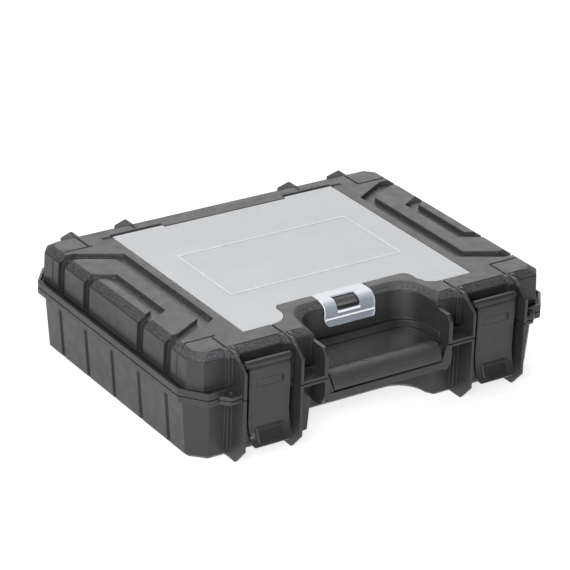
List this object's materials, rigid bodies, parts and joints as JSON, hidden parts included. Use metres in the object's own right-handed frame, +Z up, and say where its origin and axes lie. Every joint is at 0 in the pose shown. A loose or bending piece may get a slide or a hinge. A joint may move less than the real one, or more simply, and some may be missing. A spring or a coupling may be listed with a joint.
{
  "type": "tool case with lid organiser",
  "caption": "Hard black carrying case with a hinged lid, side latches, a recessed grip and a clear-covered organiser tray in the lid.",
  "frame": {"origin": "on the floor, under the middle of the closed case", "axes": "+X to the right along the front, +Y to the back, where the lid is hinged, +Z up"},
  "size_m": [0.385, 0.3205, 0.1025],
  "materials": {
    "case_black": "fine grained, with a soft sheen",
    "grip_black": "dimpled, matt",
    "milky_clear": "milky, translucent",
    "natural_plastic": "natural, unpigmented",
    "pin_steel": "blackened drawn wire"
  },
  "bodies": {
    "base": {"base_shell": "case_black", "hinge_pin_left": "pin_steel", "hinge_pin_right": "pin_steel"},
    "lid": {"lid_shell": "case_black", "handle_grip": "grip_black", "latch_pin_left": "pin_steel", "latch_pin_right": "pin_steel", "organiser_tray": "natural_plastic", "divider_left_1": "natural_plastic", "divider_left_2": "natural_plastic", "divider_left_3": "natural_plastic", "divider_middle_1": "natural_plastic", "divider_middle_2": "natural_plastic", "divider_middle_3": "natural_plastic", "divider_right_1": "natural_plastic", "divider_right_2": "natural_plastic", "divider_right_3": "natural_plastic"},
    "cover": {"organiser_cover": "milky_clear"},
    "left_latch": {"latch_left": "case_black"},
    "right_latch": {"latch_right": "case_black"}
  },
  "joints": [
    {"name": "lid_hinge", "type": "hinge", "parent": "base", "child": "lid", "pos_m": [0, 0.151, 0.0644], "axis": [-1, 0, 0], "range_deg": [0, 100]},
    {"name": "cover_hinge", "type": "hinge", "parent": "lid", "child": "cover", "pos_m": [0, 0.1134, 0.0988], "axis": [-1, 0, 0], "range_deg": [0, 100]},
    {"name": "latch_left_hinge", "type": "hinge", "parent": "lid", "child": "left_latch", "pos_m": [-0.1194, -0.148, 0.091], "axis": [1, 0, 0], "range_deg": [-120, 0]},
    {"name": "latch_right_hinge", "type": "hinge", "parent": "lid", "child": "right_latch", "pos_m": [0.1194, -0.148, 0.091], "axis": [1, 0, 0], "range_deg": [-120, 0]}
  ]
}
